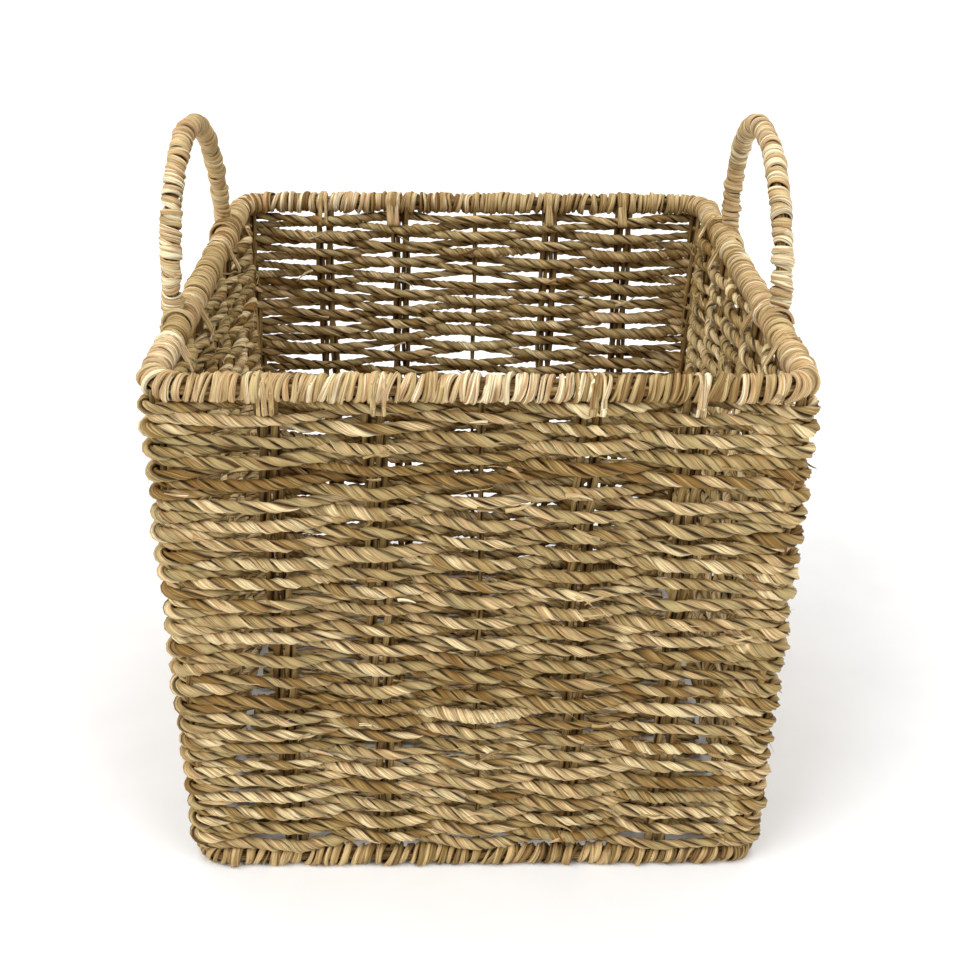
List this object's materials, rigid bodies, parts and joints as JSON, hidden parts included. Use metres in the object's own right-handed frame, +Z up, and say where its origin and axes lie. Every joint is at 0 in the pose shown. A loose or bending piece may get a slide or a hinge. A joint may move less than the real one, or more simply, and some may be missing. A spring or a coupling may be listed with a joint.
{
  "type": "storage basket",
  "caption": "Square open-topped storage basket woven in twisted seagrass rope over a stiff frame, with a wrapped rim and two fixed arched side handles.",
  "frame": {"origin": "on the floor, under the middle of the basket, at the flat underside of the wrapped base ring", "axes": "+Z up; the front wall faces -Y; the two handles stand over the -X and +X walls"},
  "size_m": [0.3368, 0.33, 0.3905],
  "materials": {
    "seagrass_rope": "matte",
    "seagrass_strip": "matte",
    "seagrass_stake": "matte",
    "frame_wire": "satin"
  },
  "bodies": {
    "root": {"rim_wire": "frame_wire", "base_wire": "frame_wire", "left_handle_core": "frame_wire", "right_handle_core": "frame_wire", "rim_wrap": "seagrass_strip", "base_wrap": "seagrass_strip", "left_handle_wrap": "seagrass_strip", "right_handle_wrap": "seagrass_strip", "left_lashing_front": "seagrass_strip", "left_lashing_back": "seagrass_strip", "right_lashing_front": "seagrass_strip", "right_lashing_back": "seagrass_strip", "post_front_left": "seagrass_stake", "post_front_right": "seagrass_stake", "post_back_left": "seagrass_stake", "post_back_right": "seagrass_stake", "front_stakes": "seagrass_stake", "back_stakes": "seagrass_stake", "left_stakes": "seagrass_stake", "right_stakes": "seagrass_stake", "base_stakes": "seagrass_stake", "base_weft": "seagrass_rope", "weft_turn_01": "seagrass_rope", "weft_turn_02": "seagrass_rope", "weft_turn_03": "seagrass_rope", "weft_turn_04": "seagrass_rope", "weft_turn_05": "seagrass_rope", "weft_turn_06": "seagrass_rope", "weft_turn_07": "seagrass_rope", "weft_turn_08": "seagrass_rope", "weft_turn_09": "seagrass_rope", "weft_turn_10": "seagrass_rope", "weft_turn_11": "seagrass_rope", "weft_turn_12": "seagrass_rope", "weft_turn_13": "seagrass_rope", "weft_turn_14": "seagrass_rope", "weft_turn_15": "seagrass_rope", "weft_turn_16": "seagrass_rope", "weft_turn_17": "seagrass_rope", "weft_turn_18": "seagrass_rope", "weft_turn_19": "seagrass_rope", "weft_turn_20": "seagrass_rope", "weft_turn_21": "seagrass_rope", "weft_turn_22": "seagrass_rope", "weft_turn_23": "seagrass_rope", "weft_turn_24": "seagrass_rope"}
  },
  "joints": []
}
